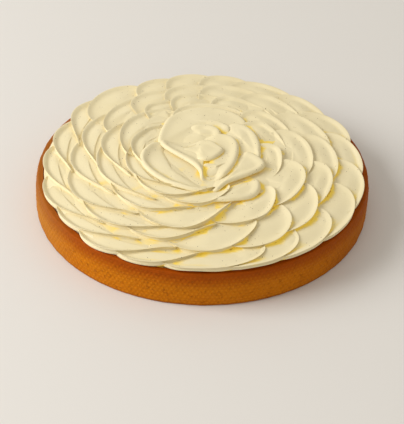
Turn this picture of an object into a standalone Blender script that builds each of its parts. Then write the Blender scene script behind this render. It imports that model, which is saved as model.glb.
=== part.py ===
"""Vanilla tart: a straight-sided baked pastry shell under rings of overlapping piped cream petals.

Metres, +Z up. The origin is the middle of the flat underside. Two solids: "crust", the pastry
shell with its rim, and "cream", the piped topping, which fills the shell's recess and lies on
the rim with a hairline gap.
"""

import math
from collections import namedtuple

import bmesh
import bpy
import numpy as np

MM = 0.001

# The pastry shell
CRUST_RADIUS = 110 * MM
CRUST_HEIGHT = 25.5 * MM
OVAL = 0.028  # how far the shell is pulled out of round, as a share of its radius
OVAL_ANGLE = math.radians(14.5)  # direction of the long axis
RIM_WIDTH = 4.5 * MM
RECESS_DEPTH = 3 * MM
FOOT_INSET = 0.5 * MM  # the foot of the wall is a little smaller than its middle
TOP_INSET = 1.3 * MM  # and so is the top edge
EDGE_ROUND = 0.9 * MM
WALL_WAVE = 0.25 * MM  # hand-lined pastry is never quite true
WALL_LEVELS = (0.2, 0.7)  # shares of the height between which the wall is upright
TURNED_SEGMENTS = 96

# The piped cream
GAP = 0.3 * MM  # between cream and pastry
EDGE_RISE = 5.2 * MM  # petal lips above the rim at the outside
CROWN_RISE = 9.2 * MM  # and how much higher they are in the middle
BASE_DROP = 3.8 * MM  # the mound under the petals lies this far below their lips
MOUND_SHARES = (1, 0.85, 0.7, 0.55, 0.4, 0.25, 0.12)  # of its radius, for the mound's profile
RING_SIDES = 16
FOLD_SIDES = 24
SCOOP_DEPTH = 1.8 * MM
BLUNTNESS = 2.4  # of the quarter oval that a lip follows
INNER_WIDTH = 0.6  # of a petal's width, hidden under the next ring
START_DROP = 1.3 * MM  # the lip comes out from under its neighbour
END_DROP = 1.6 * MM  # and goes down again where it meets the next ring
SINK = 1.0 * MM  # how far the hidden sides go down
NEIGHBOUR_DIP = 1.6 * MM
RING_DIP = 0.9 * MM
FORM_STEP = 1.0 * MM
CREAM_FACES = 9800

# Cross-section of a petal from its foot over its lip into the scoop: how far inside the outline,
# then the share of the way from there to the middle, and the height over the lip
PETAL_FOOT = CRUST_HEIGHT - 2 * RECESS_DEPTH
PETAL_STEPS = ((-0.6 * MM, 0, -7 * MM), (-1.2 * MM, 0, -2.2 * MM), (0.5 * MM, 0, 0),
               (3.5 * MM, 0, -1.1 * MM), (3.5 * MM, 0.4, -1.85 * MM))

# Each ring: how far back its petals go under their neighbours, in degrees, and its petals, each
# with the angle and reach of its lip's top, the angle and reach of its free end, and the lip's
# slant in between. Angles are in degrees, reaches are shares of the crust's radius.
RINGS = (
    (15, ((268, 0.99, 297, 0.83, 0), (288, 0.99, 313, 0.8, 0), (307, 0.99, 332, 0.77, 0),
          (326, 0.99, 351, 0.765, 0), (346, 0.972, 368, 0.78, 0), (366, 0.957, 387, 0.78, 0),
          (388, 0.966, 404, 0.76, 0), (406, 0.965, 421, 0.78, 0), (424, 0.978, 441, 0.8, 0),
          (443, 0.992, 455, 0.78, 0), (457, 0.995, 470, 0.78, 0), (470, 0.97, 484, 0.78, 0),
          (490, 0.995, 513, 0.75, 0.2), (507, 0.985, 532, 0.76, 0.85), (525, 0.953, 551, 0.78, 0.85),
          (543, 0.956, 569, 0.81, 0.85), (562, 0.975, 588, 0.82, 0.85), (578, 0.972, 605, 0.82, 0.85),
          (594, 0.997, 621, 0.82, 0.85), (610, 0.992, 636, 0.83, 0.85))),
    (22, ((274, 0.855, 301, 0.62, 0.4), (298, 0.857, 321, 0.6, 0.2), (318, 0.827, 345, 0.6, 0.3),
          (345, 0.785, 365, 0.62, 0), (368, 0.806, 388, 0.62, 0), (388, 0.812, 410, 0.61, 0),
          (418, 0.838, 434, 0.66, 0), (438, 0.857, 455, 0.66, 0), (457, 0.84, 474, 0.65, 0),
          (475, 0.82, 494, 0.64, 0), (493, 0.8, 518, 0.63, 0.3), (518, 0.8, 551, 0.62, 0.85),
          (542, 0.8, 575, 0.62, 0.85), (565, 0.832, 595, 0.65, 0.85), (585, 0.828, 618, 0.66, 0.85),
          (610, 0.8, 639, 0.62, 0.85))),
    (32, ((302, 0.65, 330, 0.45, 0.4), (338, 0.63, 365, 0.44, 0), (376, 0.66, 397, 0.48, 0),
          (410, 0.635, 426, 0.48, 0), (436, 0.71, 448, 0.57, 0), (460, 0.725, 473, 0.57, 0),
          (478, 0.68, 492, 0.54, 0), (498, 0.618, 541, 0.42, 0.5), (525, 0.648, 565, 0.46, 0.85),
          (547, 0.64, 597, 0.49, 0.85), (588, 0.622, 624, 0.48, 0.85), (618, 0.69, 654, 0.45, 0.85))),
    (42, ((372, 0.466, 386, 0.33, 0), (403, 0.532, 418, 0.38, 0), (448, 0.58, 478, 0.42, 0),
          (520, 0.466, 567, 0.33, 0.85), (556, 0.47, 602, 0.33, 0.85), (590, 0.46, 645, 0.3, 0.85),
          (623, 0.47, 661, 0.3, 0.4))),
)

# The folds in the heart of the piping, each with its extra height, the depth of its scoop as a
# share of a petal's, and the points of its edge: x and y in millimetres, and how much of a lip
Fold = namedtuple("Fold", "name rise depth edge")
FOLDS = (
    Fold("fold_crown", -0.4 * MM, 0.5, (
        (27, 42, 0.6), (21, 51, 1), (13, 56, 1), (3, 57.5, 1), (-8, 56, 1), (-18, 51, 0.8), (-25, 44, 0.7),
        (-28, 35, 0.7), (-30, 25, 0.6), (-30, 14, 0.4), (-18, 12, 0), (4, 20, 0), (20, 32, 0))),
    Fold("fold_front", 0, 0.6, (
        (35, -21, 0.4), (29, -20, 0), (18, -24, 0), (6, -31, 0), (-5, -38, 0), (-2, -46, 0.4), (8, -45, 0.8),
        (19, -43, 1), (29, -40.5, 1), (35, -35, 1), (37, -28, 1))),
    Fold("fold_leaf", 0, 1.4, (
        (-33, 13, 0.7), (-40, 5, 1), (-42, -4, 1), (-39, -13, 1), (-33, -21, 1), (-27, -26, 1), (-20, -31, 1),
        (-13, -34, 1), (-5, -36, 1), (3, -35, 0.4), (2, -26, 0), (-6, -14, 0), (-16, -2, 0), (-25, 8, 0))),
    Fold("fold_side", 0, 0.6, (
        (36, 3, 0.5), (36.5, 10, 1), (36.5, 18, 1), (34, 27, 1), (29, 35, 1), (23, 38.5, 1), (17, 37.5, 0.5),
        (11, 33, 0), (10, 20, 0), (16, 8, 0), (27, 1, 0))),
    Fold("fold_point", 0.1 * MM, 0.7, (
        (40, -4.5, 1), (36, 2, 0.8), (30, 6.5, 0.6), (23, 8, 0), (14, 2, 0), (8, -12, 0), (5, -28, 0),
        (8.5, -34.5, 0.5), (15.5, -27, 1), (24, -20.5, 1), (31, -16, 1), (37, -11, 1))),
    Fold("fold_small", 0, 0.4, (
        (16, 34, 0.5), (12.5, 38.5, 0.7), (6, 41.5, 0.8), (-3, 42, 0.6), (-11, 39, 0.2), (-18, 32, 0),
        (-12, 24, 0), (2, 22, 0), (13, 27, 0))),
    Fold("fold_back", 0.2 * MM, 0.3, (
        (9.5, 26, 0.6), (8, 31, 1), (3, 34.5, 1), (-4, 35.5, 0.8), (-11, 33, 0.3), (-19, 27, 0), (-22, 18, 0),
        (-12, 12, 0), (2, 14, 0), (9, 19, 0))),
    Fold("fold_heart", 0.5 * MM, 0.9, (
        (22, 10, 1), (20.5, 18, 1), (16.5, 22.5, 1), (10, 24, 0.8), (3, 22.5, 0.3), (-8, 20, 0), (-20, 18, 0),
        (-29, 15, 0.5), (-27, 8, 0.9), (-21, 2, 1), (-15, -2.5, 1), (-9, -7.5, 1), (-4.5, -13, 1),
        (-1.5, -19, 0.8), (0, -24, 0.2), (7, -23, 0), (13.5, -19, 0.6), (17.5, -12, 1), (20.5, -2, 1))),
    Fold("fold_tongue", 0, 0.3, (
        (20, -2, 0.2), (16, -6, 0.5), (9, -9, 0.6), (1, -9.5, 0.5), (-2, -14, 0), (0, -22, 0), (8, -22, 0),
        (15, -16, 0))),
    Fold("fold_tip", 1.2 * MM, 0.2, (
        (12, 5.5, 1), (7.5, 11, 0.9), (3, 15, 0.7), (-3, 15.5, 0.4), (-9, 12, 0.2), (-17, 9, 0), (-20, 5, 0),
        (-13, 1, 0), (-5, -3, 0.3), (2, -5, 1), (8, -1, 1))),
)


def oval_radius(radius, angle):
    """A radius on the slightly oval plan of the tart."""
    return radius * (1 + OVAL * np.cos(2 * (angle - OVAL_ANGLE)))


def dome(x, y):
    """Height of the petal lips over each point of the tart."""
    share = np.minimum(np.hypot(x, y) / CRUST_RADIUS, 1)
    return CRUST_HEIGHT + EDGE_RISE + CROWN_RISE * (1 - share * share)


def arc(centre_r, centre_z, start, end, steps):
    """Points of a rounded edge in a turned profile, from one angle to another in degrees."""
    turn = (end - start) / steps
    angles = [math.radians(start + turn * step) for step in range(steps + 1)]
    return [(centre_r + EDGE_ROUND * math.cos(a), centre_z + EDGE_ROUND * math.sin(a)) for a in angles]


def finished(name, mesh):
    """Turns a bmesh into an object with all its faces pointing outwards."""
    bmesh.ops.recalc_face_normals(mesh, faces=mesh.faces)
    if mesh.calc_volume(signed=True) < 0:
        bmesh.ops.reverse_faces(mesh, faces=mesh.faces)
    data = bpy.data.meshes.new(name)
    mesh.to_mesh(data)
    mesh.free()
    made = bpy.data.objects.new(name, data)
    bpy.context.scene.collection.objects.link(made)
    return made


def turned(name, profile, wave=0.0):
    """An object turned from a profile of (radius, height) that starts and ends on the axis."""
    mesh = bmesh.new()
    first = mesh.verts.new((0, 0, profile[0][1]))
    last = mesh.verts.new((0, 0, profile[-1][1]))
    columns = []
    for segment in range(TURNED_SEGMENTS):
        angle = 2 * math.pi * segment / TURNED_SEGMENTS
        swell = wave * (math.sin(4 * angle + 1) + 0.6 * math.sin(8 * angle))
        column = []
        for radius, height in profile[1:-1]:
            reach = oval_radius(radius, angle) + swell
            column.append(mesh.verts.new((reach * math.cos(angle), reach * math.sin(angle), height)))
        columns.append(column)
    for column, after in zip(columns, columns[1:] + columns[:1]):
        mesh.faces.new((first, column[0], after[0]))
        mesh.faces.new((last, after[-1], column[-1]))
        for level in range(len(column) - 1):
            mesh.faces.new((column[level], column[level + 1], after[level + 1], after[level]))
    return finished(name, mesh)


def smooth(value, low, high):
    """0 below low, 1 above high, and smooth in between."""
    share = np.clip((value - low) / (high - low), 0, 1)
    return share * share * (3 - 2 * share)


def ring_outline(turn, petal, back):
    """Points of a petal's edge; turn is 0 at its free end and a quarter turn at its top."""
    top, reach, end, end_reach, slant = petal
    blunt = (np.abs(np.cos(turn))**BLUNTNESS + np.abs(np.sin(turn))**BLUNTNESS)**(-1 / BLUNTNESS)
    along = np.cos(turn) * blunt
    out = np.sin(turn) * blunt
    angle = np.radians(top + along * np.where(along > 0, end - top, back))
    bow = np.where(along > 0, slant, 0)
    drop = bow * smooth(along, 0, 1) + (1 - bow) * (1 - out)
    drop = np.where(out > 0, drop, 1 - INNER_WIDTH * out)
    radius = oval_radius(CRUST_RADIUS * (reach - (reach - end_reach) * drop), angle)
    return radius * np.cos(angle), radius * np.sin(angle)


def ring_lip(turn):
    """Where the lip of a ring petal is hidden, and how far it has gone down."""
    degrees = np.degrees(turn)
    start = np.maximum(smooth(degrees, 80, 150), degrees < -90)
    behind = np.where(degrees < -90, 1, smooth(degrees, 125, 160))
    hidden = np.maximum(behind, smooth(-degrees, -12, 20))
    return hidden, START_DROP * start + END_DROP * smooth(-degrees, -45, 0)


def ring_middle(x, y, share, petal):
    """Points this share of the way to the middle of a ring petal, along the ring."""
    top, reach, end, end_reach, slant = petal
    angle = np.degrees(np.arctan2(y, x))
    along = (angle - top + 180) % 360 - 180
    out = np.hypot(x, y) / oval_radius(CRUST_RADIUS, np.radians(angle))
    angle = np.radians(top + along * (1 - share))
    middle = 0.4 * reach + 0.6 * end_reach
    radius = oval_radius(CRUST_RADIUS * (out + (middle - out) * share), angle)
    return radius * np.cos(angle), radius * np.sin(angle)


def ring_dip(x, y, petal):
    """How far a ring petal dips under its neighbour and under the next ring."""
    top, reach, end, end_reach, slant = petal
    angle = np.degrees(np.arctan2(y, x))
    along = (angle - top + 180) % 360 - 180
    share = np.hypot(x, y) / oval_radius(CRUST_RADIUS, np.radians(angle))
    inward = (reach - share) / (reach - end_reach)
    return NEIGHBOUR_DIP * smooth(-along / (end - top), 0, 1.2) + RING_DIP * smooth(inward, 0.8, 1.6)


def along_edge(turn, edge):
    """Values between the points of a fold's edge, on a smooth closed curve."""
    edge = np.array(edge, float)
    place = turn / (2 * math.pi) % 1 * len(edge)
    step = np.floor(place).astype(int)
    share = (place - step)[:, None]
    before, start, end, after = (edge[(step + ahead) % len(edge)] for ahead in (-1, 0, 1, 2))
    bend = 2 * before - 5 * start + 4 * end - after + share * (3 * (start - end) + after - before)
    return start + 0.5 * share * (end - before + share * bend)


def fold_outline(turn, fold):
    place = along_edge(turn, fold.edge)
    return place[:, 0] * MM, place[:, 1] * MM


def fold_lip(turn, fold):
    """Where a fold has no lip, and how far the lip has gone down."""
    lip = np.clip(along_edge(turn, fold.edge)[:, 2], 0, 1)
    return 1 - smooth(lip, 0, 0.5), END_DROP * (1 - smooth(lip, 0, 1))


def fold_middle(x, y, share, fold):
    middle_x, middle_y, _ = np.mean(fold.edge, axis=0)
    return x + (middle_x * MM - x) * share, y + (middle_y * MM - y) * share


def petal(name, sides, outline, lip, middle, dip, rise=0.0, depth=1.0):
    """One closed petal: loops from its foot over its lip, and a middle point in its scoop."""
    turn = 2 * math.pi * np.arange(sides) / sides
    turn = np.where(turn > math.pi, turn - 2 * math.pi, turn)
    x, y = outline(turn)
    ahead_x, ahead_y = outline(turn + 0.01)
    behind_x, behind_y = outline(turn - 0.01)
    normal_x, normal_y = ahead_y - behind_y, behind_x - ahead_x
    size = np.hypot(normal_x, normal_y)
    hidden, drop = lip(turn)
    mesh = bmesh.new()
    loops = []
    for inset, share, height in PETAL_STEPS:
        near_x, near_y = middle(x - inset * normal_x / size, y - inset * normal_y / size, share)
        sunk = np.minimum(-(SCOOP_DEPTH + SINK * (1 - share)) - height, 0)
        scoop = height * (depth if inset > 1 * MM else 1)
        level = dome(near_x, near_y) + scoop + rise - drop * (1 - share) + hidden * sunk
        level = level - dip(near_x, near_y)
        if not loops:
            level[:] = PETAL_FOOT
        loops.append([mesh.verts.new(point) for point in zip(near_x, near_y, level)])
    centre_x, centre_y = middle(x[:1], y[:1], 1)
    centre_z = dome(centre_x, centre_y) - SCOOP_DEPTH * depth + rise - dip(centre_x, centre_y)
    centre = mesh.verts.new((centre_x[0], centre_y[0], centre_z[0]))
    for side in range(sides):
        after = (side + 1) % sides
        for lower, upper in zip(loops, loops[1:]):
            mesh.faces.new((lower[side], lower[after], upper[after], upper[side]))
        mesh.faces.new((loops[-1][side], loops[-1][after], centre))
    mesh.faces.new(list(reversed(loops[0])))
    bmesh.ops.triangulate(mesh, faces=mesh.faces)
    return finished(name, mesh)


def ring_petals():
    """All petals of all rings, from the outside in."""
    petals = []
    for number, (back, ring) in enumerate(RINGS, start=1):
        for count, shape in enumerate(ring):
            petals.append(petal(f"petal_{number}_{count}", RING_SIDES,
                                lambda turn: ring_outline(turn, shape, back), ring_lip,
                                lambda x, y, share: ring_middle(x, y, share, shape),
                                lambda x, y: ring_dip(x, y, shape)))
    return petals


def heart_folds():
    """The folds that close the middle."""
    folds = []
    for fold in FOLDS:
        folds.append(petal(fold.name, FOLD_SIDES, lambda turn: fold_outline(turn, fold),
                           lambda turn: fold_lip(turn, fold),
                           lambda x, y, share: fold_middle(x, y, share, fold),
                           lambda x, y: 0 * x, fold.rise, fold.depth))
    return folds


def crust():
    """The pastry shell: a solid disc with a raised rim round a shallow recess."""
    foot = CRUST_RADIUS - FOOT_INSET
    top = CRUST_RADIUS - TOP_INSET
    inner = top - RIM_WIDTH
    floor = CRUST_HEIGHT - RECESS_DEPTH
    profile = [(0, 0)]
    profile += arc(foot - EDGE_ROUND, EDGE_ROUND, -90, -10, 2)
    profile += [(CRUST_RADIUS, CRUST_HEIGHT * level) for level in WALL_LEVELS]
    profile += arc(top - EDGE_ROUND, CRUST_HEIGHT - EDGE_ROUND, 5, 90, 3)
    profile += arc(inner + EDGE_ROUND, CRUST_HEIGHT - EDGE_ROUND, 90, 180, 2)
    profile += [(inner, floor), (0, floor)]
    return turned("crust", profile, WALL_WAVE)


def mound():
    """The cream that the petals are piped on. It reaches below its seat, which is cut later."""
    edge = CRUST_RADIUS - TOP_INSET - RIM_WIDTH
    below = CRUST_HEIGHT - 2 * RECESS_DEPTH
    profile = [(0, below), (edge, below)]
    profile += [(edge * share, dome(edge * share, 0) - BASE_DROP) for share in MOUND_SHARES]
    profile += [(0, dome(0, 0) - BASE_DROP)]
    return turned("cream", profile)


def seat():
    """What the cream must stay clear of: the pastry with its recess, larger by the gap."""
    wide = CRUST_RADIUS * 1.3
    inner = CRUST_RADIUS - TOP_INSET - RIM_WIDTH - GAP
    floor = CRUST_HEIGHT - RECESS_DEPTH + GAP
    rim = CRUST_HEIGHT + GAP
    under = -CRUST_HEIGHT
    profile = [(0, under), (wide, under), (wide, rim), (inner, rim), (inner, floor), (0, floor)]
    return turned("seat", profile, WALL_WAVE)


def apply_modifier(piece, kind, **settings):
    """Adds a modifier with these settings and applies it."""
    modifier = piece.modifiers.new(kind.lower(), kind)
    for name, value in settings.items():
        setattr(modifier, name, value)
    bpy.context.view_layer.objects.active = piece
    bpy.ops.object.modifier_apply(modifier=modifier.name)


def drop_scraps(piece):
    """Keeps the outer skin alone, so that any pocket sealed in the joining is filled."""
    mesh = bmesh.new()
    mesh.from_mesh(piece.data)
    waiting = set(mesh.faces)
    skins = []
    while waiting:
        skin = [waiting.pop()]
        for face in skin:
            near = {other for edge in face.edges for other in edge.link_faces} & waiting
            waiting -= near
            skin.extend(near)
        skins.append(skin)
    skins.sort(key=len)
    for scrap in skins[:-1]:
        bmesh.ops.delete(mesh, geom=scrap, context="FACES")
    bmesh.ops.triangulate(mesh, faces=mesh.faces)
    mesh.to_mesh(piece.data)
    mesh.free()


def cream():
    """All petals joined to the mound, then cut to sit in the pastry."""
    joined = mound()
    petals = ring_petals() + heart_folds()
    together = bpy.data.collections.new("petals")
    bpy.context.scene.collection.children.link(together)
    for piece in petals:
        bpy.context.scene.collection.objects.unlink(piece)
        together.objects.link(piece)
    # The exact solver leaves doubled faces where so many petals meet
    apply_modifier(joined, "BOOLEAN", operation="UNION", operand_type="COLLECTION",
                   collection=together, solver="MANIFOLD")
    # Where petals only just touch, the union leaves slivers. New faces on the same form have none
    apply_modifier(joined, "REMESH", mode="VOXEL", voxel_size=FORM_STEP)
    faces = sum(len(face.vertices) - 2 for face in joined.data.polygons)
    apply_modifier(joined, "DECIMATE", ratio=CREAM_FACES / faces)
    cutter = seat()
    apply_modifier(joined, "BOOLEAN", operation="DIFFERENCE", object=cutter, solver="MANIFOLD")
    for helper in [*petals, cutter]:
        bpy.data.objects.remove(helper)
    bpy.data.collections.remove(together)
    drop_scraps(joined)
    return joined


def give_material(piece, name, colour, roughness):
    """A plain non-metallic surface."""
    made = bpy.data.materials.new(name)
    made.use_nodes = True
    shader = made.node_tree.nodes["Principled BSDF"]
    shader.inputs["Base Color"].default_value = (*colour, 1)
    shader.inputs["Roughness"].default_value = roughness
    shader.inputs["Metallic"].default_value = 0
    piece.data.materials.clear()
    piece.data.materials.append(made)


def main():
    for old in list(bpy.data.objects):
        bpy.data.objects.remove(old)
    shell = crust()
    topping = cream()
    give_material(shell, "baked_pastry", (0.45, 0.16, 0.03), 0.6)
    give_material(topping, "vanilla_cream", (0.86, 0.76, 0.5), 0.45)
    for piece in (shell, topping):
        piece.data.shade_smooth()
        piece.data.set_sharp_from_angle(angle=math.radians(40))
        print(piece.name, len(piece.data.vertices), "points", len(piece.data.polygons), "faces")


main()
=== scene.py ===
# %% [markdown]
# # Vanilla tart
#
# A straight-sided pastry shell, baked golden brown in a perforated ring, and on it rings of
# overlapping petals of vanilla cream. The plain solids of the tart come ready made. They fix its
# size and place. This notebook lays the finish over them: finely modelled petals of cream, pastry
# with the printed dots of its ring, and vanilla seeds.

# %% Load the solids
import math
import random
from collections import namedtuple

import bpy
import numpy as np
from mathutils import Matrix, Vector
from mathutils.bvhtree import BVHTree


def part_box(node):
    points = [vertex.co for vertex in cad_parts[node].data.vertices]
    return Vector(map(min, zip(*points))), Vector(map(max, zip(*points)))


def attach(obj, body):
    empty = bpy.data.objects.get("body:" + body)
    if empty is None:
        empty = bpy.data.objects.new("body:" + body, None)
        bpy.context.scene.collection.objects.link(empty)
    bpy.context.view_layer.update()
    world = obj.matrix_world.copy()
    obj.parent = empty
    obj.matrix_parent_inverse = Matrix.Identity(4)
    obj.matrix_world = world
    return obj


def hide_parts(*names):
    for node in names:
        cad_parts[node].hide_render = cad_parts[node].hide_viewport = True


MM = 0.001

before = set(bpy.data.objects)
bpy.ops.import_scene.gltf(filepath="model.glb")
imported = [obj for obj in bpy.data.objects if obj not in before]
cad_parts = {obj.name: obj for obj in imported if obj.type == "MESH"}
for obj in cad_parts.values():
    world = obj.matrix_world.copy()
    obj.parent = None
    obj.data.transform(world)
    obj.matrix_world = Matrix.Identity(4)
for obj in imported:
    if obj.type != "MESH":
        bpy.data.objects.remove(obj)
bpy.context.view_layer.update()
print("solids:", sorted(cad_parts))

# %% [markdown]
# ## Camera and light
#
# The camera looks down at the tart from a good metre away with a long lens, so the round shows
# as a calm oval. It leans a little to one side. The light is one large soft window to the left and
# weak light from all round, which leaves soft, warm shadows between the petals.

# %% Camera
CAMERA_PLACE = Vector((0.5, -843.7, 680.8)) * MM
CAMERA_PITCH = math.radians(39.33)
CAMERA_ROLL = math.radians(3.05)
LENS = 134.4
FARTHEST_SEEN = 20

bpy.ops.object.camera_add()
camera = bpy.context.object
camera.data.lens = LENS
camera.data.clip_end = FARTHEST_SEEN
look = Matrix.Rotation(math.pi / 2 - CAMERA_PITCH, 4, "X") @ Matrix.Rotation(CAMERA_ROLL, 4, "Z")
camera.matrix_world = Matrix.Translation(CAMERA_PLACE) @ look
bpy.context.scene.camera = camera
bpy.context.scene.view_settings.view_transform = "Standard"
print("camera", round(CAMERA_PLACE.length, 2), "m away")

# %% Light
ROOM_COLOUR = (1.0, 0.95, 0.86, 1)
ROOM_STRENGTH = 0.58
WINDOW_PLACE = (-1.55, -0.25, 1.1)
WINDOW_SIZE = 1.1
WINDOW_POWER = 30
WINDOW_COLOUR = (1.0, 0.99, 0.98)

world = bpy.data.worlds.new("room")
bpy.context.scene.world = world
world.use_nodes = True
room = world.node_tree.nodes["Background"].inputs
room["Color"].default_value = ROOM_COLOUR
room["Strength"].default_value = ROOM_STRENGTH

bpy.ops.object.light_add(type="AREA", location=WINDOW_PLACE)
window = bpy.context.object
window.name = "window"
window.data.size = WINDOW_SIZE
window.data.energy = WINDOW_POWER
window.data.color = WINDOW_COLOUR
window.rotation_euler = (-Vector(WINDOW_PLACE)).to_track_quat("-Z", "Y").to_euler()
print("light", window.name, WINDOW_POWER, "W")

# %% [markdown]
# ## Ways of working
#
# A few small helpers keep the cells short. Each new form starts as a primitive with everything
# else deselected, and is shaped in edit mode. A round, stepped form is a circle that is pulled up
# and widened or narrowed step by step, as a potter would.

# %% Helpers for shapes


def clear_selection():
    bpy.ops.object.select_all(action="DESELECT")


def apply_modifier(piece, kind, **settings):
    """Adds a modifier with these settings and applies it."""
    modifier = piece.modifiers.new(kind.lower(), kind)
    for name, value in settings.items():
        setattr(modifier, name, value)
    clear_selection()
    bpy.context.view_layer.objects.active = piece
    piece.select_set(True)
    bpy.ops.object.modifier_apply(modifier=modifier.name)


def stack(name, sides, profile):
    """A round form of (radius, height) steps, pulled up from a filled circle."""
    clear_selection()
    radius, height = profile[0]
    bpy.ops.mesh.primitive_circle_add(vertices=sides, radius=radius, fill_type="NGON",
                                      location=(0, 0, height))
    piece = bpy.context.object
    piece.name = name
    bpy.ops.object.mode_set(mode="EDIT")
    bpy.ops.mesh.select_all(action="SELECT")
    for wide, high in profile[1:]:
        bpy.ops.mesh.extrude_region_move(TRANSFORM_OT_translate={"value": (0, 0, high - height)})
        bpy.ops.transform.resize(value=(wide / radius, wide / radius, 1))
        radius, height = wide, high
    bpy.ops.mesh.select_all(action="SELECT")
    bpy.ops.mesh.normals_make_consistent(inside=False)
    bpy.ops.object.mode_set(mode="OBJECT")
    bpy.ops.object.transform_apply(location=True, rotation=True, scale=True)
    return piece


def copy_of(piece, name):
    """A copy of a piece, with a mesh of its own."""
    made = bpy.data.objects.new(name, piece.data.copy())
    bpy.context.scene.collection.objects.link(made)
    return made


def join(parts):
    """Joins pieces into the first of them."""
    clear_selection()
    for part in parts:
        part.select_set(True)
    bpy.context.view_layer.objects.active = parts[0]
    bpy.ops.object.join()
    return bpy.context.object


# %% Helpers for points


def points_of(piece):
    """The points of a mesh as an array with one row each."""
    points = np.empty(len(piece.data.vertices) * 3, np.float32)
    piece.data.vertices.foreach_get("co", points)
    return points.reshape(-1, 3).astype(float)


def set_points(piece, points):
    piece.data.vertices.foreach_set("co", points.astype(np.float32).ravel())
    piece.data.update()


def remember(piece, name, values):
    """Keeps one number for each point of a piece, for its finish to read."""
    kept = piece.data.attributes.new(name, "FLOAT", "POINT")
    kept.data.foreach_set("value", np.asarray(values, np.float32))


def smooth(value, low, high):
    """0 up to low, 1 from high on, and a soft step between."""
    share = np.clip((value - low) / (high - low), 0, 1)
    return share * share * (3 - 2 * share)


def size_of(piece):
    piece.data.calc_loop_triangles()
    return len(piece.data.loop_triangles)


# %% [markdown]
# ## The plan of the tart
#
# The pastry was pushed a little out of round, so every radius is stretched by a few hundredths
# along one axis. The petals' tips rise towards the middle of the tart on a gentle dome.

# %% Plan and dome
RADIUS = 110 * MM
RIM_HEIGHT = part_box("crust")[1].z
OVAL = 0.028
OVAL_ANGLE = math.radians(14.5)
EDGE_RISE = 5.2 * MM
CROWN_RISE = 9.2 * MM
GAP = 0.3 * MM  # between cream and pastry


def oval_share(angle):
    """How much wider than a circle the tart is in this direction."""
    return 1 + OVAL * np.cos(2 * (angle - OVAL_ANGLE))


def make_oval(piece):
    """Pulls a round piece out of round as the tart is."""
    points = points_of(piece)
    share = oval_share(np.arctan2(points[:, 1], points[:, 0]))
    points[:, :2] *= share[:, None]
    set_points(piece, points)


def crown_height(radius):
    """Height of the petal lips at this distance from the middle."""
    share = np.minimum(radius / RADIUS, 1)
    return RIM_HEIGHT + EDGE_RISE + CROWN_RISE * (1 - share * share)


print("rim at", round(RIM_HEIGHT / MM, 1), "mm, dome from",
      round(float(crown_height(RADIUS)) / MM, 1), "to", round(float(crown_height(0)) / MM, 1), "mm")

# %% [markdown]
# ## One petal of cream
#
# Each petal was pressed down and drawn off sideways: a long shallow scoop with a thin rounded lip,
# steep just behind the lip and nearly flat in the middle. Only its outer side and its free end
# show, the rest lies under the next petals. One pattern petal is pulled up from a circle step by
# step. It holds no true shape yet, only the steps of the lip and scoop, each at its own distance
# in from the edge and its own height.

# %% The pattern petal
PATTERN_RADIUS = 30 * MM
PETAL_SIDES = 48
LIP_STEPS = (  # (distance in from the outline, height over the lip) in mm
    (5.5, -7), (5, -4.6), (3, -3.3), (0.9, -2.6), (0, -2.0), (0.3, -1.3), (0.9, -0.55),
    (1.7, -0.08), (2.7, -0.03), (4, -0.45), (5.8, -1.15), (8, -1.65), (11, -1.85), (15, -1.8),
    (20, -1.7), (28, -1.6))

pattern = stack("pattern_petal", PETAL_SIDES,
                [(PATTERN_RADIUS - inset * MM, height * MM) for inset, height in LIP_STEPS])
print("pattern petal", len(pattern.data.vertices), "points")

# %% [markdown]
# ## Laying a petal
#
# The pattern petal is copied for every petal of the tart, and its points are moved. Near the edge
# they keep their distance from the petal's own outline. Further in they close up evenly towards
# the middle. The hand never presses quite evenly, so each lip waves a little. Where a side is
# hidden its lip goes down under the next petal.

# %% Laying down
OUTSET = 1.5 * MM  # the foot of the lip lies this far outside its crest
LIP_WIDTH = 2 * MM  # up to here points follow the outline
BORDER = 5 * MM  # up to here they keep their distance from it, further in they close up
SCOOP_FROM = 1.2 * MM
SCOOP_DEPTH = 1.8 * MM
FOOT_LEVEL = -4.9 * MM  # lower steps stand on the pastry's rim
SINK = 1.0 * MM  # how far the hidden sides go down
DROP_KEPT = 0.2  # of a lip's drop, in the middle of the petal
WAVES = (2, 3, 5)  # round the outline
WAVE_HEIGHT = 0.12 * MM
TURN_STEP = 0.01
SEED = 7

chance = random.Random(SEED)


def outward_of(outline, turn):
    """The direction straight out of an outline at each turn, in the plan."""
    ahead_x, ahead_y = outline(turn + TURN_STEP)
    behind_x, behind_y = outline(turn - TURN_STEP)
    out_x, out_y = ahead_y - behind_y, behind_x - ahead_x
    length = np.hypot(out_x, out_y)
    return out_x / length, out_y / length


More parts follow.
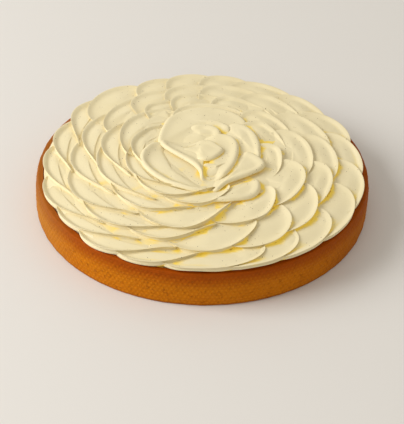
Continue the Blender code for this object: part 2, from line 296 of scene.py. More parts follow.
def lay_petal(name, outline, lip, slope, middle, rise=0.0, depth=1.0):
    """A copy of the pattern petal, given its own outline and laid down in its place."""
    laid = copy_of(pattern, name)
    points = points_of(laid)
    turn = np.arctan2(points[:, 1], points[:, 0])
    inset = PATTERN_RADIUS - np.hypot(points[:, 0], points[:, 1])
    height = points[:, 2]
    waves = WAVE_HEIGHT * sum(np.sin(n * turn + chance.uniform(0, 2 * math.pi)) for n in WAVES)

    x, y = outline(turn)
    out_x, out_y = outward_of(outline, turn)
    inward = np.minimum(inset, LIP_WIDTH) - OUTSET + waves
    x = x - inward * out_x
    y = y - inward * out_y
    middle_x, middle_y = middle(x, y, 1)
    near = np.clip(inset - LIP_WIDTH, 0, BORDER - LIP_WIDTH) / np.hypot(middle_x - x, middle_y - y)
    far = np.clip((inset - BORDER) / (PATTERN_RADIUS - BORDER), 0, 1)
    share = np.clip(near + (1 - near) * far, 0, 1)
    x, y = middle(x, y, share)

    hidden, drop = lip(np.degrees(turn))
    sunk = -(SCOOP_DEPTH + SINK * (1 - share)) - height
    deeper = np.where(inset > SCOOP_FROM, height * (depth - 1), 0)
    z = crown_height(np.hypot(x, y)) + height + deeper + rise + waves * (1 - share)
    z = z - drop * (1 - (1 - DROP_KEPT) * share) + hidden * np.minimum(sunk, 0) - slope(x, y)
    z = np.where(height < FOOT_LEVEL, RIM_HEIGHT, z)
    set_points(laid, np.stack([x, y, np.maximum(z, RIM_HEIGHT + GAP)], axis=1))
    return laid


# %% [markdown]
# ## Rings of petals
#
# The petals were set down ring after ring from the outside in. Every petal starts under the free
# end of the one before it, runs along its ring, and turns inward to end on the next ring. So a
# petal is told by the angle at which its lip is furthest out, its reach there as a share of the
# radius, the angle and reach at which it ends, and by how much the lip slants on the way. In
# between the lip follows a quarter of a blunt oval.

# %% The rings
Petal = namedtuple("Petal", "top reach end end_reach slant")
RINGS = (  # how far its petals start behind their tops, and the petals; angles in degrees
    (15, ((268, 0.99, 297, 0.83, 0), (288, 0.99, 313, 0.8, 0), (307, 0.99, 332, 0.77, 0),
          (326, 0.99, 351, 0.765, 0), (346, 0.972, 368, 0.78, 0), (366, 0.957, 387, 0.78, 0),
          (388, 0.966, 404, 0.76, 0), (406, 0.965, 421, 0.78, 0), (424, 0.978, 441, 0.8, 0),
          (443, 0.992, 455, 0.78, 0), (457, 0.995, 470, 0.78, 0), (470, 0.97, 484, 0.78, 0),
          (490, 0.995, 513, 0.75, 0.2), (507, 0.985, 532, 0.76, 0.85), (525, 0.953, 551, 0.78, 0.85),
          (543, 0.956, 569, 0.81, 0.85), (562, 0.975, 588, 0.82, 0.85), (578, 0.972, 605, 0.82, 0.85),
          (594, 0.997, 621, 0.82, 0.85), (610, 0.992, 636, 0.83, 0.85))),
    (22, ((274, 0.855, 301, 0.62, 0.4), (298, 0.857, 321, 0.6, 0.2), (318, 0.827, 345, 0.6, 0.3),
          (345, 0.785, 365, 0.62, 0), (368, 0.806, 388, 0.62, 0), (388, 0.812, 410, 0.61, 0),
          (418, 0.838, 434, 0.66, 0), (438, 0.857, 455, 0.66, 0), (457, 0.84, 474, 0.65, 0),
          (475, 0.82, 494, 0.64, 0), (493, 0.8, 518, 0.63, 0.3), (518, 0.8, 551, 0.62, 0.85),
          (542, 0.8, 575, 0.62, 0.85), (565, 0.832, 595, 0.65, 0.85), (585, 0.828, 618, 0.66, 0.85),
          (610, 0.8, 639, 0.62, 0.85))),
    (32, ((302, 0.65, 330, 0.45, 0.4), (338, 0.63, 365, 0.44, 0), (376, 0.66, 397, 0.48, 0),
          (410, 0.635, 426, 0.48, 0), (436, 0.71, 448, 0.57, 0), (460, 0.725, 473, 0.57, 0),
          (478, 0.68, 492, 0.54, 0), (498, 0.618, 541, 0.42, 0.5), (525, 0.648, 565, 0.46, 0.85),
          (547, 0.64, 597, 0.49, 0.85), (588, 0.622, 624, 0.48, 0.85), (618, 0.69, 654, 0.45, 0.85))),
    (42, ((372, 0.466, 386, 0.33, 0), (403, 0.532, 418, 0.38, 0), (448, 0.58, 478, 0.42, 0),
          (520, 0.466, 567, 0.33, 0.85), (556, 0.47, 602, 0.33, 0.85), (590, 0.46, 645, 0.3, 0.85),
          (623, 0.47, 661, 0.3, 0.4))),
)
BLUNTNESS = 2.4
INNER_WIDTH = 0.75  # of a petal's width, hidden under the next ring
SLANTED_DEPTH = 0.4  # slanted petals have deeper scoops
MIDDLE_IN = 0.6  # the way from a petal's top to its end at which its middle lies


def ring_outline(turn, petal, back):
    """Points of a petal's edge, in the plan of the tart; turn is 0 at its free end, 90 at its top."""
    blunt = (np.abs(np.cos(turn))**BLUNTNESS + np.abs(np.sin(turn))**BLUNTNESS)**(-1 / BLUNTNESS)
    along = np.cos(turn) * blunt
    out = np.sin(turn) * blunt
    angle = np.radians(petal.top + along * np.where(along > 0, petal.end - petal.top, back))
    bow = np.where(along > 0, petal.slant, 0)
    drop = bow * smooth(along, 0, 1) + (1 - bow) * (1 - out)
    drop = np.where(out > 0, drop, 1 - INNER_WIDTH * out)
    radius = RADIUS * (petal.reach - (petal.reach - petal.end_reach) * drop) * oval_share(angle)
    return radius * np.cos(angle), radius * np.sin(angle)


def ring_place(x, y, petal):
    """Degrees past the petal's top, and the share of the tart's radius, of each point."""
    angle = np.arctan2(y, x)
    along = (np.degrees(angle) - petal.top + 180) % 360 - 180
    return along, np.hypot(x, y) / (RADIUS * oval_share(angle))


def ring_middle(x, y, share, petal):
    """Points this share of the way to the middle of a ring petal, along the ring."""
    along, out = ring_place(x, y, petal)
    angle = np.radians(petal.top + along * (1 - share))
    middle = (1 - MIDDLE_IN) * petal.reach + MIDDLE_IN * petal.end_reach
    radius = RADIUS * (out + (middle - out) * share) * oval_share(angle)
    return radius * np.cos(angle), radius * np.sin(angle)


# %% [markdown]
# A ring petal's lip comes out from under its neighbour, stands free round the top, and goes down
# again where it meets the next ring. The petal as a whole dips under both. Here turns are in
# degrees, 180 at the petal's start, 90 at its top and 0 at its free end. Turns below 0 are the
# inner side.

# %% Lips in a ring
START_DROP = 1.3 * MM
START_TURNS = (80, 150)  # towards its start the lip goes down
BEHIND_TURNS = (125, 160)  # and is gone
END_DROP = 1.6 * MM
END_TURNS = (-45, 0)  # past its top it goes down, counted the other way
PAST_TURNS = (-12, 20)  # and is gone
INNER_START = -90
NEIGHBOUR_DIP = 1.6 * MM
NEIGHBOUR_REACH = (0, 1.2)  # in lengths of the petal, behind its top
RING_DIP = 0.9 * MM
RING_REACH = (0.8, 1.6)  # in widths of the petal, inwards


def ring_lip(degrees):
    """Where the lip of a ring petal is hidden, and how far it has gone down."""
    start = np.maximum(smooth(degrees, *START_TURNS), degrees < INNER_START)
    behind = np.where(degrees < INNER_START, 1, smooth(degrees, *BEHIND_TURNS))
    hidden = np.maximum(behind, smooth(-degrees, *PAST_TURNS))
    return hidden, START_DROP * start + END_DROP * smooth(-degrees, *END_TURNS)


def ring_slope(x, y, petal):
    """How far a ring petal dips under its neighbour and under the next ring."""
    along, share = ring_place(x, y, petal)
    behind = -along / (petal.end - petal.top)
    inward = (petal.reach - share) / (petal.reach - petal.end_reach)
    return NEIGHBOUR_DIP * smooth(behind, *NEIGHBOUR_REACH) + RING_DIP * smooth(inward, *RING_REACH)


petals = []
for number, (back, ring) in enumerate(RINGS, start=1):
    for count, petal in enumerate(Petal(*values) for values in ring):
        petals.append(lay_petal(f"petal_{number}_{count}",
                                lambda turn: ring_outline(turn, petal, back), ring_lip,
                                lambda x, y: ring_slope(x, y, petal),
                                lambda x, y, share: ring_middle(x, y, share, petal),
                                depth=1 + SLANTED_DEPTH * petal.slant))
print(len(petals), "petals in", len(RINGS), "rings")

# %% [markdown]
# ## The heart of the piping
#
# In the middle the last petals fold about one another and end in a small tip. No two are alike, so
# each fold has a closed edge of its own, a smooth curve through a few points. Each point also says
# how much of a lip stands there, and the sides without a lip lie under the folds that come after.

# %% The heart
Fold = namedtuple("Fold", "name rise depth edge")
FOLDS = (  # each point of an edge: x and y in millimetres, and how much of a lip it has
    Fold("fold_crown", -0.4 * MM, 0.5, (
        (27, 42, 0.6), (21, 51, 1), (13, 56, 1), (3, 57.5, 1), (-8, 56, 1), (-18, 51, 0.8), (-25, 44, 0.7),
        (-28, 35, 0.7), (-30, 25, 0.6), (-30, 14, 0.4), (-18, 12, 0), (4, 20, 0), (20, 32, 0))),
    Fold("fold_front", 0, 0.6, (
        (35, -21, 0.4), (29, -20, 0), (19, -24, 0), (10, -30, 0), (4, -38, 0), (5, -44, 0.3), (12, -44, 0.8),
        (20, -43, 1), (29, -40.5, 1), (35, -35, 1), (37, -28, 1))),
    Fold("fold_leaf", 0, 1.4, (
        (-33, 13, 0.7), (-40, 5, 1), (-42, -4, 1), (-39, -13, 1), (-33, -21, 1), (-27, -26, 1), (-20, -31, 1),
        (-13, -34, 1), (-5, -36, 1), (3, -35, 0.4), (2, -26, 0), (-6, -14, 0), (-16, -2, 0), (-25, 8, 0))),
    Fold("fold_side", 0, 0.6, (
        (36, 3, 0.5), (36.5, 10, 1), (36.5, 18, 1), (34, 27, 1), (29, 35, 1), (23, 38.5, 1), (17, 37.5, 0.5),
        (11, 33, 0), (10, 20, 0), (16, 8, 0), (27, 1, 0))),
    Fold("fold_point", 0.1 * MM, 0.7, (
        (40, -4.5, 1), (36, 2, 0.8), (30, 6.5, 0.6), (23, 8, 0), (14, 2, 0), (8, -12, 0), (5, -28, 0),
        (8.5, -34.5, 0.5), (15.5, -27, 1), (24, -20.5, 1), (31, -16, 1), (37, -11, 1))),
    Fold("fold_small", -0.3 * MM, 0.75, (
        (16, 34, 0.5), (12.5, 38.5, 0.7), (6, 41.5, 0.8), (-3, 42, 0.6), (-11, 39, 0.2), (-18, 32, 0),
        (-12, 24, 0), (2, 22, 0), (13, 27, 0))),
    Fold("fold_back", -0.1 * MM, 0.75, (
        (9.5, 26, 0.6), (8, 31, 1), (3, 34.5, 1), (-4, 35.5, 0.8), (-11, 33, 0.3), (-19, 27, 0),
        (-22, 18, 0), (-12, 12, 0), (2, 14, 0), (9, 19, 0))),
    Fold("fold_heart", 0.5 * MM, 0.9, (
        (22, 10, 1), (20.5, 18, 1), (16.5, 22.5, 1), (10, 24, 0.8), (3, 22.5, 0.3), (-8, 20, 0), (-20, 18, 0),
        (-29, 15, 0.5), (-27, 8, 0.9), (-21, 2, 1), (-15, -2.5, 1), (-9, -7.5, 1), (-4.5, -13, 1),
        (-1.5, -19, 0.8), (0, -24, 0.2), (7, -23, 0), (13.5, -19, 0.6), (17.5, -12, 1), (20.5, -2, 1))),
    Fold("fold_tongue", 0, 0.3, (
        (20, -2, 0.2), (16, -6, 0.5), (9, -9, 0.6), (1, -9.5, 0.5), (-2, -14, 0), (0, -22, 0), (8, -22, 0),
        (15, -16, 0))),
    Fold("fold_tip", 1.0 * MM, 0.2, (
        (12, 5.5, 1), (7.5, 11, 0.9), (3, 15, 0.7), (-3, 15.5, 0.4), (-9, 12, 0.2), (-17, 9, 0), (-20, 5, 0),
        (-13, 1, 0), (-5, -3, 0.3), (2, -5, 1), (8, -1, 1))),
)
LIP_SHOWS = 0.5  # with less lip than this, the fold's side starts to sink


def along_edge(turn, edge):
    """Values between the points of a fold's edge, on a smooth closed curve."""
    edge = np.array(edge, float)
    place = turn / (2 * math.pi) % 1 * len(edge)
    step = np.floor(place).astype(int)
    share = (place - step)[:, None]
    before, start, end, after = (edge[(step + ahead) % len(edge)] for ahead in (-1, 0, 1, 2))
    bend = 2 * before - 5 * start + 4 * end - after + share * (3 * (start - end) + after - before)
    return start + 0.5 * share * (end - before + share * bend)


def fold_outline(turn, fold):
    place = along_edge(turn, fold.edge)
    return place[:, 0] * MM, place[:, 1] * MM


def fold_lip(degrees, fold):
    """Where the lip of a fold is hidden, and how far it has gone down."""
    lip = np.clip(along_edge(np.radians(degrees), fold.edge)[:, 2], 0, 1)
    return 1 - smooth(lip, 0, LIP_SHOWS), END_DROP * (1 - smooth(lip, 0, 1))


def fold_middle(x, y, share, fold):
    """Points this share of the way to the middle of a fold."""
    middle_x, middle_y = np.mean(fold.edge, axis=0)[:2] * MM
    return x + (middle_x - x) * share, y + (middle_y - y) * share


for fold in FOLDS:
    petals.append(lay_petal(fold.name, lambda turn: fold_outline(turn, fold),
                            lambda degrees: fold_lip(degrees, fold), lambda x, y: 0,
                            lambda x, y, share: fold_middle(x, y, share, fold),
                            rise=fold.rise, depth=fold.depth))
print(len(FOLDS), "folds")

# %% [markdown]
# ## One body of cream
#
# Before the petals were piped, the recess of the pastry was filled and smoothed to a low mound. So
# a round plug and a mound go under the petals, both pulled up from a circle, and everything is
# joined to one piece. The petals are smoothed first, as the lips are soft and the plug isn't seen.

# %% Mound and plug
RIM_WIDTH = 4.5 * MM
TOP_INSET = 1.3 * MM  # the wall leans in by this much
RECESS_DEPTH = 3 * MM
BASE_DROP = 3.8 * MM  # from the petal lips down to the mound
MOUND_STEPS = (1, 0.85, 0.7, 0.55, 0.4, 0.25, 0.12, 0.02)
MOUND_SIDES = 96
PLUG_OVERLAP = 3 * MM

inner = RADIUS - TOP_INSET - RIM_WIDTH
mound_profile = [(inner, RIM_HEIGHT + GAP)]
mound_profile += [(inner * share, float(crown_height(inner * share)) - BASE_DROP) for share in MOUND_STEPS]
mound = stack("mound", MOUND_SIDES, mound_profile)
make_oval(mound)
plug_radius = inner - 2 * GAP
plug = stack("plug", MOUND_SIDES, [(plug_radius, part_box("cream")[0].z),
                                   (plug_radius, RIM_HEIGHT + PLUG_OVERLAP)])
make_oval(plug)
print("mound and plug", size_of(mound) + size_of(plug), "triangles")

# %% Join
cream = join(petals)
apply_modifier(cream, "SUBSURF", levels=1, render_levels=1)
cream = join([cream, mound, plug])
cream.name = "piped_cream"
bpy.ops.object.shade_smooth()
bpy.data.objects.remove(pattern)
print("cream", size_of(cream), "triangles")

# %% [markdown]
# ## The pastry wall
#
# Sweet dough was pressed into a bottomless ring and baked, then rubbed level at the top. It gives
# a straight wall with soft edges, which pulled away from the ring a little at the foot and leans
# in near the rim, and a narrow flat rim round the recess for the cream. One circle pulled up
# through the whole profile makes it, with steps small enough for the marks of the ring.

# %% Pastry shell
FOOT_INSET = 0.5 * MM
FOOT_SHARE = 0.2  # of the height, in which the foot draws in
TAPER_SHARE = 0.3  # of the height, in which the top leans in
EDGE_ROUND = 0.9 * MM
LOWER_TURNS = (0.5, 1.0, 1.4)  # round the lower edge, in radians
UPPER_TURNS = (0.1, 0.5, 0.9, 1.3, math.pi / 2)  # round the upper edge
RIM_INSETS = (1.8 * MM, 2.6 * MM, 3.4 * MM)
FLAT_WIDTH = 6 * MM  # of the flat rings under the shell and in its recess
WALL_STEP = 0.55 * MM
LEAST_STEP = 0.3 * MM
WALL_SIDES = 1250


def wall_radius(height):
    """Radius of the wall at this height, before the tart is made oval."""
    share = height / RIM_HEIGHT
    drawn_in = FOOT_INSET * max(0, 1 - share / FOOT_SHARE)
    return RADIUS - drawn_in - TOP_INSET * max(0, (share - 1 + TAPER_SHARE) / TAPER_SHARE)


foot = RADIUS - FOOT_INSET - EDGE_ROUND
profile = [(RADIUS - FOOT_INSET - FLAT_WIDTH, 0), (foot, 0)]
profile += [(foot + EDGE_ROUND * math.sin(turn), EDGE_ROUND * (1 - math.cos(turn))) for turn in LOWER_TURNS]
height = EDGE_ROUND + WALL_STEP
while height < RIM_HEIGHT - EDGE_ROUND - LEAST_STEP:
    profile.append((wall_radius(height), height))
    height += WALL_STEP
rim_out = RADIUS - TOP_INSET
profile += [(rim_out - EDGE_ROUND * (1 - math.cos(turn)), RIM_HEIGHT - EDGE_ROUND * (1 - math.sin(turn)))
            for turn in UPPER_TURNS]
profile += [(rim_out - inset, RIM_HEIGHT) for inset in RIM_INSETS]
rim_in = rim_out - RIM_WIDTH
profile += [(rim_in + EDGE_ROUND, RIM_HEIGHT), (rim_in, RIM_HEIGHT - EDGE_ROUND),
            (rim_in, RIM_HEIGHT - RECESS_DEPTH), (rim_in - FLAT_WIDTH, RIM_HEIGHT - RECESS_DEPTH)]
pastry = stack("pastry_shell", WALL_SIDES, profile)
make_oval(pastry)
print("pastry", size_of(pastry), "triangles")

# %% [markdown]
# ## Marks of the perforated ring
#
# The shell was baked in a ring with rows of small holes, and the dough pushed a little way into
# them. So the wall carries round bumps in a hexagonal pattern, with a plain band at the top and at
# the foot. Between the bumps the wall's points are moved inwards, so that it keeps its size, and
# each point remembers its bump for the finish. A few long waves make the baked wall a bit uneven.

# %% Bumps on the wall
DOT_COLUMNS = 234
DOT_ROW = 2.55 * MM
DOT_SIZE = 0.95 * MM
DOT_HEIGHT = 0.16 * MM
DOT_FLAT = 0.3 * DOT_SIZE
DOT_EDGE = 1.25 * DOT_SIZE
DOTS_FROM = 2.6 * MM
DOTS_TO = 23.4 * MM
WALL_DEPTH = 2 * MM  # points this near the tart's outline belong to the wall
UNEVEN = 0.05 * MM
UNEVEN_WAVES = ((350, 1), (620, 2), (900, 4), (1500, 5))  # radians per metre, and where they start
UNEVEN_FROM = 0.9  # of the radius

points = points_of(pastry)
angle = np.arctan2(points[:, 1], points[:, 0])
out = np.hypot(points[:, 0], points[:, 1])
row = (points[:, 2] - DOTS_FROM) / DOT_ROW
near_row = np.round(row)
column = angle / (2 * math.pi) * DOT_COLUMNS + 0.5 * (near_row % 2)
pitch = 2 * math.pi * RADIUS / DOT_COLUMNS
away = np.hypot((column - np.round(column)) * pitch, (row - near_row) * DOT_ROW)
on_wall = (points[:, 2] > DOTS_FROM - DOT_SIZE) & (points[:, 2] < DOTS_TO)
on_wall &= out > (RADIUS - WALL_DEPTH) * oval_share(angle)
bump = on_wall * (1 - smooth(away, DOT_FLAT, DOT_EDGE))
uneven = sum(np.sin(points @ np.array([chance.uniform(-1, 1) for _ in range(3)]) * scale + start)
             for scale, start in UNEVEN_WAVES) - len(UNEVEN_WAVES)
outside = out / (RADIUS * oval_share(angle)) > UNEVEN_FROM
push = DOT_HEIGHT * (bump - 1) * on_wall + UNEVEN * uneven * outside
points[:, :2] += push[:, None] * np.stack([np.cos(angle), np.sin(angle)], axis=1)
set_points(pastry, points)
remember(pastry, "dot", bump)
print("bumps on", int(bump.astype(bool).sum()), "points")

# %% [markdown]
# ## Painted shade in the hollows between the petals
#
# Where a lip stands over its neighbour, light reaches the hollow only through the cream, and comes
# back a warm yellow. The finish paints this shade into the cream's colour, so it needs to know these
# places: each point of the cream is compared with the mean height of the cream around it. Hollows
# that open towards the window are lit, so they count for little.

# %% Hollows
CELL = 1.0 * MM
CELLS = 260
NO_CREAM = 1 * MM  # cells with nothing higher over the rim are filled from their neighbours
LEVEL_BLURS = 5
SLOPE_BLURS = 4
HOLLOW_DEPTH = 1.7 * MM
OPEN_DEPTH = 0.8 * MM
OPEN_SHARE = 0.35
UNDER_LIP = 0.25 * MM
TO_WINDOW = (-0.95, 0.3)
LIT_SHARE = 0.12
SHADED_SLOPES = (-0.04, 0.1)
NEIGHBOURS = [(a, b) for a in (-1, 0, 1) for b in (-1, 0, 1)]


def shifted(cells):
    return [np.roll(cells, shift, (0, 1)) for shift in NEIGHBOURS]


def blurred(cells, times):
    for _ in range(times):
        cells = np.mean(shifted(cells), axis=0)
    return cells


points = points_of(cream)
cell = np.round(points[:, :2] / CELL).astype(int) + CELLS // 2
cell = tuple(np.clip(cell, 0, CELLS - 1).T)
highest = np.zeros((CELLS, CELLS))
np.maximum.at(highest, cell, points[:, 2])
highest = np.where(highest > RIM_HEIGHT + NO_CREAM, highest, np.max(shifted(highest), axis=0))

level = blurred(highest, LEVEL_BLURS)
rise_x, rise_y = np.gradient(blurred(level, SLOPE_BLURS), CELL)
shaded = smooth(rise_x * TO_WINDOW[0] + rise_y * TO_WINDOW[1], *SHADED_SLOPES)
shaded = LIT_SHARE + (1 - LIT_SHARE) * shaded
open_part = blurred(np.clip((level - highest) / OPEN_DEPTH, 0, 1) * shaded, 1)
under = level[cell] - points[:, 2]
# the share of painted shade at each point of the cream, greater in hollows turned away from the window
hollow_shade = OPEN_SHARE * open_part[cell] * np.clip(under / UNDER_LIP, 0, 1)
hollow_shade = np.clip(hollow_shade + np.clip(under / HOLLOW_DEPTH, 0, 1) * shaded[cell], 0, 1)
remember(cream, "hollow_shade", hollow_shade)
print("mean hollow", round(float(hollow_shade.mean()), 2))

# %% [markdown]
# ## Vanilla seeds
#
# The cream is speckled with the tiny dark seeds of the vanilla pod. Each is a small many-sided
# grain, half sunk into the surface where a line straight down meets it. One grain is modelled and
# copied with its own size, width and turn, and all seeds make one piece.

# %% Seeds
SEED_COUNT = 520
SEED_SIZES = (0.16 * MM, 0.3 * MM)
SEED_WIDTHS = (0.7, 1)
SEED_HEIGHT = 0.6
SEED_REACH = 105 * MM
OVER_TART = 80 * MM
SPIN = 7  # turns a seed by this many times its place's angle, so that neighbours differ

tree = BVHTree.FromObject(cream, bpy.context.evaluated_depsgraph_get())
clear_selection()
bpy.ops.mesh.primitive_ico_sphere_add(subdivisions=1, radius=1)
grain = bpy.context.object
seeds = []
while len(seeds) < SEED_COUNT:
    reach = SEED_REACH * math.sqrt(chance.random())
    turn = chance.uniform(0, 2 * math.pi)
    start = Vector((reach * math.cos(turn), reach * math.sin(turn), OVER_TART))
    spot = tree.ray_cast(start, Vector((0, 0, -1)))[0]
    half = chance.uniform(*SEED_SIZES)
    shape = Matrix.Diagonal((half, half * chance.uniform(*SEED_WIDTHS), half * SEED_HEIGHT, 1))
    seed = copy_of(grain, "seed")
    seed.data.transform(Matrix.Translation(spot) @ Matrix.Rotation(turn * SPIN, 4, "Z") @ shape)
    seeds.append(seed)
vanilla = join(seeds)
vanilla.name = "vanilla_seeds"
bpy.data.objects.remove(grain)
print("seeds", size_of(vanilla), "triangles")

# %% [markdown]
# ## Ways of making a finish
#
# A finish is a material with a pattern worked out from places on the piece. Its sockets are wrapped
# so that they add and multiply like numbers. Every other node comes from one method.

# %% Shader helpers
MIX_COLOURS = (6, 7)  # the sockets of a Mix node for its two colours
MIXED_COLOUR = 2


class Field:
    """A shader socket that can be reckoned with like a number."""

    def __init__(self, finish, socket):
        self.finish = finish
        self.socket = socket

    def _math(self, operation, *values):
        return self.finish.node("ShaderNodeMath", {"operation": operation}, values)

    def __add__(self, other):
        return self._math("ADD", self, other)

    def __radd__(self, other):
        return self._math("ADD", other, self)

    def __sub__(self, other):
        return self._math("SUBTRACT", self, other)

    def __rsub__(self, other):
        return self._math("SUBTRACT", other, self)

    def __mul__(self, other):
        return self._math("MULTIPLY", self, other)

    def __rmul__(self, other):
        return self._math("MULTIPLY", other, self)


class Finish:
    """A material and the nodes that are added to it; other names are constants of its shader."""

    def __init__(self, name, **constants):
        self.material = bpy.data.materials.new(name)
        self.material.use_nodes = True
        self.tree = self.material.node_tree
        self.shader = self.tree.nodes["Principled BSDF"]
        for socket, value in constants.items():
            self.shader.inputs[socket.replace("_", " ")].default_value = value

    def node(self, kind, settings, values, output=0):
        """Adds a node: its settings first, then its inputs, by number or name, as values or links."""
        made = self.tree.nodes.new(kind)
        for name, value in settings.items():
            setattr(made, name, value)
        pairs = values.items() if isinstance(values, dict) else enumerate(values)
        for key, value in pairs:
            if isinstance(value, Field):
                self.tree.links.new(value.socket, made.inputs[key])
            else:
                made.inputs[key].default_value = value
        return Field(self, made.outputs[output])

    def place(self):
        return self.node("ShaderNodeTexCoord", {}, {}, "Object")

    def part(self, place, index):
        """One coordinate of a place."""
        return self.node("ShaderNodeSeparateXYZ", {}, (place,), index)

    def attribute(self, name):
        return self.node("ShaderNodeAttribute", {"attribute_name": name}, {}, "Fac")

    def noise(self, place, scale, detail=3.0, roughness=0.5):
        values = {"Vector": place, "Scale": scale, "Detail": detail, "Roughness": roughness}
        return self.node("ShaderNodeTexNoise", {}, values, "Fac")

    def ramp(self, value, low, high):
        """0 below low, 1 above high, smooth between."""
        values = {"Value": value, "From Min": low, "From Max": high, "To Min": 0.0, "To Max": 1.0}
        return self.node("ShaderNodeMapRange", {"interpolation_type": "SMOOTHSTEP"}, values)

    def blend(self, share, first, second):
        """Mixes two colours."""
        values = {0: share}
        for key, colour in zip(MIX_COLOURS, (first, second)):
            values[key] = colour if isinstance(colour, Field) else (*colour, 1)
        return self.node("ShaderNodeMix", {"data_type": "RGBA"}, values, MIXED_COLOUR)

    def bump(self, height, strength, distance):
        values = {"Strength": strength, "Distance": distance, "Height": height}
        self.feed("Normal", self.node("ShaderNodeBump", {}, values))

    def feed(self, name, value):
        self.tree.links.new(value.socket, self.shader.inputs[name])

    def give(self, piece):
        piece.data.materials.clear()
        piece.data.materials.append(self.material)


# %% [markdown]
# ## Finish of the cream
#
# Whipped cream is pale ivory with a faint satin sheen and tiny bubbles. Light goes a long way into
# it, so its shadows are never grey. True light scattering shows the petals that overlap inside the
# piece as cold patches, so the shade is painted into the colour instead: painted warm yellow shade
# in the hollows, and painted brown shade only in the smallest pits. A painted glow, faint all over
# and stronger in the hollows, stands in for the light that comes back through the cream.

# %% Cream finish
IVORY = ((0.79, 0.69, 0.42), (0.84, 0.75, 0.5))
# painted shade colour for the hollows between the petals
HOLLOW_SHADE_YELLOW = (0.77, 0.57, 0.12)
# painted shade colour for the deepest pits
PIT_SHADE_BROWN = (0.5, 0.27, 0.04)
# painted glow, faint over all the cream and stronger in its hollows, for light that comes back through it
PAINTED_FAINT_GLOW = (0.01, 0.008, 0.004)
PAINTED_HOLLOW_GLOW = (0.2, 0.145, 0.008)
HOLLOW_RANGE = (0.1, 0.8)
PIT_RANGE = (0.93, 1.0)
PIT_SHARE = 0.5
SMUDGE = 0.08  # how much the patches move the edge of a hollow
PATCH_SCALE = 35.0
DENT_SCALE = 160.0
BUBBLE_SCALE = 900.0
BUBBLE_DETAIL = 4.0

cream_finish = Finish("vanilla_cream_finish", Specular_IOR_Level=0.35, Emission_Strength=1.0)
place = cream_finish.place()
hollow_shade = cream_finish.attribute("hollow_shade")
patches = cream_finish.noise(place, PATCH_SCALE)
bubbles = cream_finish.noise(place, BUBBLE_SCALE, BUBBLE_DETAIL)
dents = cream_finish.noise(place, DENT_SCALE)
shade = cream_finish.ramp(hollow_shade + SMUDGE * (patches - 0.5), *HOLLOW_RANGE)
pit_shade = cream_finish.ramp(hollow_shade, *PIT_RANGE)
colour = cream_finish.blend(patches, *IVORY)
# painted warm yellow shade in the hollows
colour = cream_finish.blend(shade, colour, HOLLOW_SHADE_YELLOW)
# painted brown shade in the deepest pits
colour = cream_finish.blend(PIT_SHARE * pit_shade, colour, PIT_SHADE_BROWN)
cream_finish.feed("Base Color", colour)
# painted glow in place of the light scattered in the cream
cream_finish.feed("Emission Color", cream_finish.blend(shade * (1.0 - pit_shade), PAINTED_FAINT_GLOW, PAINTED_HOLLOW_GLOW))
cream_finish.feed("Roughness", 0.34 + 0.16 * bubbles + 0.1 * patches)
cream_finish.bump(bubbles + 2.0 * dents, strength=0.25, distance=0.3 * MM)
cream_finish.give(cream)
print("cream finish", len(cream_finish.tree.nodes), "nodes")

# %% [markdown]
# ## Finish of the seeds
#
# The seeds are near black to brown, and dull from the cream that clings to them.

# %% Seed finish
SEED_BROWNS = ((0.03, 0.012, 0.004), (0.14, 0.06, 0.015))
MOTTLE_SCALE = 60.0

seed_finish = Finish("vanilla_seed_finish", Roughness=0.5)
mottle = seed_finish.noise(seed_finish.place(), MOTTLE_SCALE)
seed_finish.feed("Base Color", seed_finish.blend(mottle, *SEED_BROWNS))
seed_finish.give(vanilla)
print("seed finish", len(seed_finish.tree.nodes), "nodes")

# %% [markdown]
# ## Finish of the pastry
#
# The wall baked to golden brown, deeper towards the rim where the heat came first, and paler on
# the bumps, which pushed into the holes and touched no metal. Its fine crumb shows as dark pores
# and a rough, matt surface, and the foot has a thin darker band. A painted sheen lightens the wall
# towards the window, and painted shade darkens it on the far side. Each of these is a share by
# which one more colour is blended in.

# %% Pastry finish
GOLDEN = ((0.47, 0.125, 0.001), (0.6, 0.19, 0.003))
BROWNED = (0.31, 0.048, 0.001)
DOT_GOLD = (0.7, 0.28, 0.015)
PORE_BROWN = (0.22, 0.05, 0.002)
FOOT_BROWN = (0.26, 0.07, 0.008)
# painted sheen: the wall lightened towards the window
PAINTED_SHEEN = (0.33, 0.17, 0.035)
# painted shade: the wall darkened on the side away from the window
FAR_SHADE_BROWN = (0.3, 0.07, 0.002)
BROWNED_HEIGHTS = (12 * MM, 23.5 * MM)
FOOT_HEIGHTS = (1 * MM, 2.6 * MM)
PORE_RANGE = (0.52, 0.7)
SHEEN_FROM = (70 * MM, 112 * MM)  # leftwards from the middle
FAR_SHADE_FROM = (50 * MM, 110 * MM)  # rightwards
BROWNED_WANDER = 6 * MM  # how much the patches move the browned band
FOOT_WANDER = 1.2 * MM
BAKED_PATCH_SCALE = 45.0
CRUMB_SCALE, CRUMB_DETAIL, CRUMB_ROUGHNESS = 420.0, 5.0, 0.65
FINE_CRUMB_SCALE = 1400.0

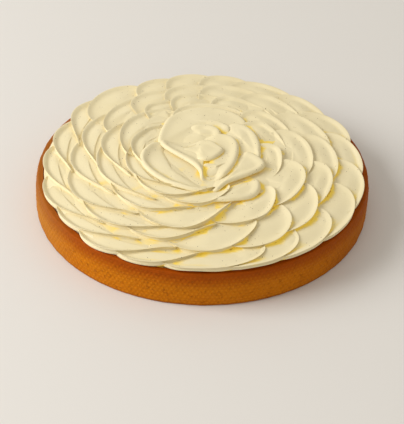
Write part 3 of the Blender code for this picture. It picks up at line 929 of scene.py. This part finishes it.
pastry_finish = Finish("baked_pastry_finish", Specular_IOR_Level=0.06)
place = pastry_finish.place()
across = pastry_finish.part(place, 0)
height = pastry_finish.part(place, 2)
dot = pastry_finish.attribute("dot")
patches = pastry_finish.noise(place, BAKED_PATCH_SCALE)
crumb = pastry_finish.noise(place, CRUMB_SCALE, CRUMB_DETAIL, CRUMB_ROUGHNESS)
fine_crumb = pastry_finish.noise(place, FINE_CRUMB_SCALE)
browned = pastry_finish.ramp(height + BROWNED_WANDER * (patches - 0.5), *BROWNED_HEIGHTS)
above_foot = pastry_finish.ramp(height + FOOT_WANDER * (crumb - 0.5), *FOOT_HEIGHTS)
colour = pastry_finish.blend(patches, *GOLDEN)
for share, brown in ((0.85 * browned, BROWNED),
                     (0.3 * dot * (1.0 - 0.6 * browned), DOT_GOLD),
                     (0.55 * pastry_finish.ramp(crumb, *PORE_RANGE), PORE_BROWN),
                     (0.5 * (1.0 - above_foot), FOOT_BROWN),
                     # painted sheen towards the window
                     (0.4 * pastry_finish.ramp(-1.0 * across, *SHEEN_FROM), PAINTED_SHEEN),
                     # painted shade on the side away from the window
                     (0.45 * pastry_finish.ramp(across, *FAR_SHADE_FROM), FAR_SHADE_BROWN)):
    colour = pastry_finish.blend(share, colour, brown)
pastry_finish.feed("Base Color", colour)
pastry_finish.feed("Roughness", 0.45 + 0.3 * crumb)
pastry_finish.bump(crumb + 0.6 * fine_crumb, strength=0.5, distance=0.6 * MM)
pastry_finish.give(pastry)
print("pastry finish", len(pastry_finish.tree.nodes), "nodes")

# %% [markdown]
# ## The floor
#
# The tart stands on a plain pale floor, large enough to fill the view.

# %% Floor
FLOOR_SIZE = 8
FLOOR_COLOUR = (0.75, 0.73, 0.7, 1)

clear_selection()
bpy.ops.mesh.primitive_plane_add(size=FLOOR_SIZE)
floor = bpy.context.object
floor.name = "floor"
Finish("pale_floor", Base_Color=FLOOR_COLOUR, Roughness=0.8).give(floor)
print("floor", FLOOR_SIZE, "m wide")

# %% [markdown]
# ## Handing over
#
# The cream and the pastry each take the place of their plain solid. The seeds belong to no solid
# and ride with them.

# %% Hand over
for piece, node, slot in ((cream, "cream", "vanilla_cream"), (pastry, "crust", "baked_pastry"),
                          (vanilla, None, "vanilla_cream")):
    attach(piece, "root")
    if node:
        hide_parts(node)
